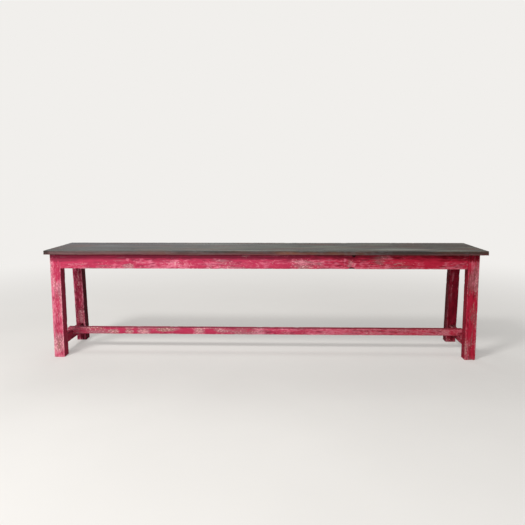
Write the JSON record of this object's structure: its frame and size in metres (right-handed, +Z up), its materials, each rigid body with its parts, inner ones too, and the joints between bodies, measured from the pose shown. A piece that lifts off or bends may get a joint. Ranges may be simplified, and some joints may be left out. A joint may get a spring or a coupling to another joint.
{
  "type": "rustic bench",
  "caption": "Long low wooden bench: a plain plank seat on a pegged frame of square legs, shallow aprons and an H of low stretchers.",
  "frame": {"origin": "on the floor, under the middle of the outline of seat and feet", "axes": "+X along the bench to its right end, +Y to its back, +Z up"},
  "size_m": [1.8, 0.339, 0.453],
  "materials": {
    "dark_wood": "dark, worn and greyed",
    "red_paint": "crimson paint, worn through at edges",
    "bare_wood": "unpainted, aged",
    "iron": "dark forged iron"
  },
  "bodies": {
    "root": {"seat_plank": "dark_wood", "front_left_leg": "red_paint", "front_right_leg": "red_paint", "back_left_leg": "red_paint", "back_right_leg": "red_paint", "front_apron": "red_paint", "back_apron": "red_paint", "left_end_apron": "red_paint", "right_end_apron": "red_paint", "left_end_stretcher": "red_paint", "right_end_stretcher": "red_paint", "long_stretcher": "red_paint", "left_bearer": "bare_wood", "right_bearer": "bare_wood", "long_apron_pegs": "red_paint", "end_apron_pegs": "red_paint", "stretcher_pegs": "red_paint", "lap_nails": "iron", "seat_nails": "iron"}
  },
  "joints": []
}
